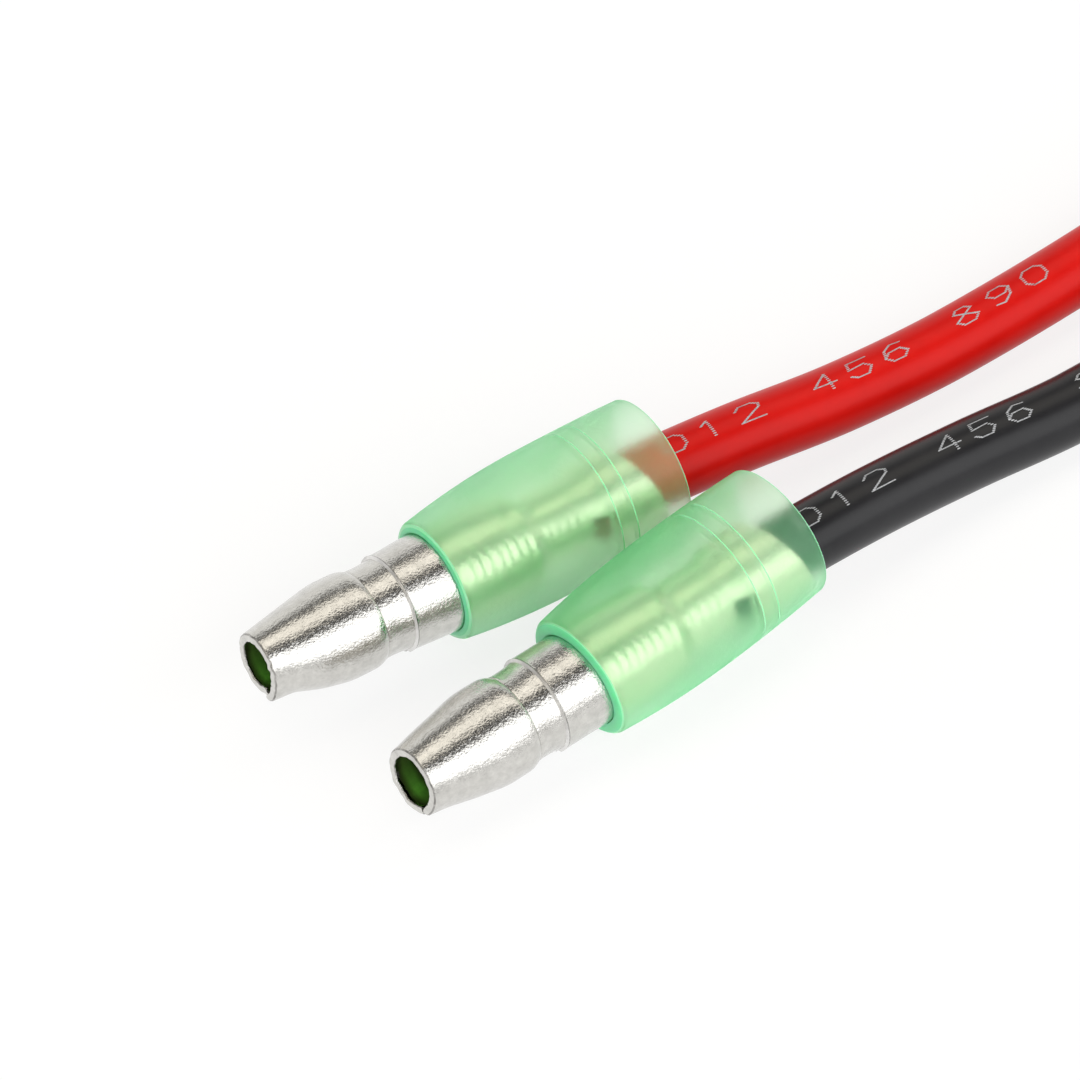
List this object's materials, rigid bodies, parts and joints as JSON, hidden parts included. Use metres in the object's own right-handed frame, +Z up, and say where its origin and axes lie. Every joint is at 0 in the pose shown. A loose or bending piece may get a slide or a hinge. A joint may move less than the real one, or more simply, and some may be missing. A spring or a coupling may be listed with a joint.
{
  "type": "bullet terminal lead pair",
  "caption": "Red and black silicone leads with bullet crimp terminals in translucent mint sleeves, running back to a round panel-mount charging socket.",
  "frame": {"origin": "on the table under the middle of the box around the two terminals with their sleeves", "axes": "+X along the terminals towards their noses, +Y from the red lead to the black one, +Z up"},
  "size_m": [0.1339, 0.0162, 0.014],
  "materials": {
    "tin_plate": "bright tin plate",
    "mint_sleeve": "translucent semi-gloss",
    "copper_core": "stranded copper",
    "red_silicone": "satin",
    "black_silicone": "satin",
    "solder": "dull",
    "shrink_tube": "satin",
    "moulded_black": "fine matt",
    "nickel_plate": "bright nickel plate",
    "spring_steel": "zinc plate"
  },
  "bodies": {
    "root": {"red_terminal": "tin_plate", "red_sleeve": "mint_sleeve", "red_core": "copper_core", "red_lead": "red_silicone", "red_joint": "solder", "red_shrink": "shrink_tube", "black_terminal": "tin_plate", "black_sleeve": "mint_sleeve", "black_core": "copper_core", "black_lead": "black_silicone", "black_joint": "solder", "black_shrink": "shrink_tube", "socket_housing": "moulded_black", "centre_pin": "nickel_plate", "pin_tag": "nickel_plate", "spring_contact": "nickel_plate", "lock_washer": "spring_steel", "panel_nut": "nickel_plate"}
  },
  "joints": []
}
